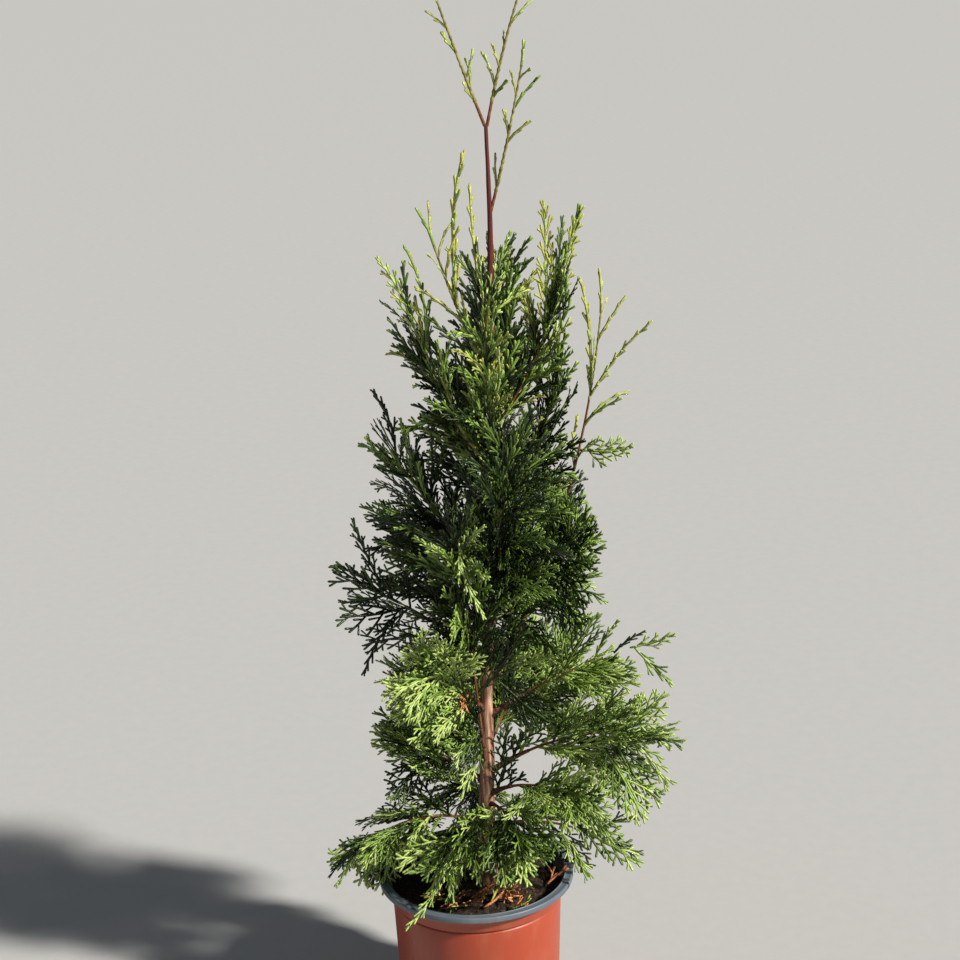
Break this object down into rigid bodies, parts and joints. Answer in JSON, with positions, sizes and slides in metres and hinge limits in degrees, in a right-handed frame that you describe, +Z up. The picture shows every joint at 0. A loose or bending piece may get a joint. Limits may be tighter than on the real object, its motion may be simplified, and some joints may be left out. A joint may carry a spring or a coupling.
{
  "type": "potted thuja",
  "caption": "Young thuja with a leaning trunk, ascending boughs and flat fern-like sprays, in a round thin-walled nursery pot with a rolled lip.",
  "frame": {"origin": "centre of the pot's flat underside", "axes": "+Z straight up along the pot's axis; +X to the right and -Y towards the viewer, as the plant is seen from its front"},
  "size_m": [0.3407, 0.2265, 1.0316],
  "materials": {
    "terracotta_plastic": "smooth moulded plastic, slightly glossy, terracotta red",
    "grey_plastic": "smooth moulded plastic, blue-grey",
    "potting_soil": "moist dark potting compost with bark chips",
    "bark": "thin red-brown bark in long strips",
    "foliage": "scale-leaved evergreen sprays, dark green to yellow-green at the shoots"
  },
  "bodies": {
    "root": {"pot_wall": "terracotta_plastic", "pot_rim": "grey_plastic", "potting_soil": "potting_soil", "trunk": "bark", "bough_skirt_left": "bark", "bough_skirt_right": "bark", "bough_skirt_front": "bark", "bough_skirt_front_left": "bark", "bough_skirt_back": "bark", "bough_low_left": "bark", "bough_low_left_outer": "bark", "bough_low_right_high": "bark", "bough_low_right": "bark", "bough_low_right_front": "bark", "bough_low_back_left": "bark", "bough_low_back_right": "bark", "bough_mid_left": "bark", "bough_mid_left_high": "bark", "bough_mid_right": "bark", "bough_mid_front": "bark", "bough_mid_back_left": "bark", "bough_mid_back_right": "bark", "bough_right_riser": "bark", "bough_high_front": "bark", "bough_high_right": "bark", "bough_high_back": "bark", "bough_upper_left": "bark", "foliage_skirt_left": "foliage", "foliage_skirt_right": "foliage", "foliage_skirt_front": "foliage", "foliage_skirt_front_left": "foliage", "foliage_skirt_back": "foliage", "foliage_low_left": "foliage", "foliage_low_left_outer": "foliage", "foliage_low_right_high": "foliage", "foliage_low_right": "foliage", "foliage_low_right_front": "foliage", "foliage_low_back_left": "foliage", "foliage_low_back_right": "foliage", "foliage_mid_left": "foliage", "foliage_mid_left_high": "foliage", "foliage_mid_right": "foliage", "foliage_mid_front": "foliage", "foliage_mid_back_left": "foliage", "foliage_mid_back_right": "foliage", "foliage_right_riser": "foliage", "foliage_high_front": "foliage", "foliage_high_right": "foliage", "foliage_high_back": "foliage", "foliage_upper_left": "foliage", "foliage_upper_left_shoot": "foliage", "foliage_upper_right": "foliage", "foliage_upper_front": "foliage", "foliage_upper_back": "foliage", "foliage_leader_side": "foliage", "foliage_leader_left": "foliage", "foliage_leader_right": "foliage"}
  },
  "joints": []
}
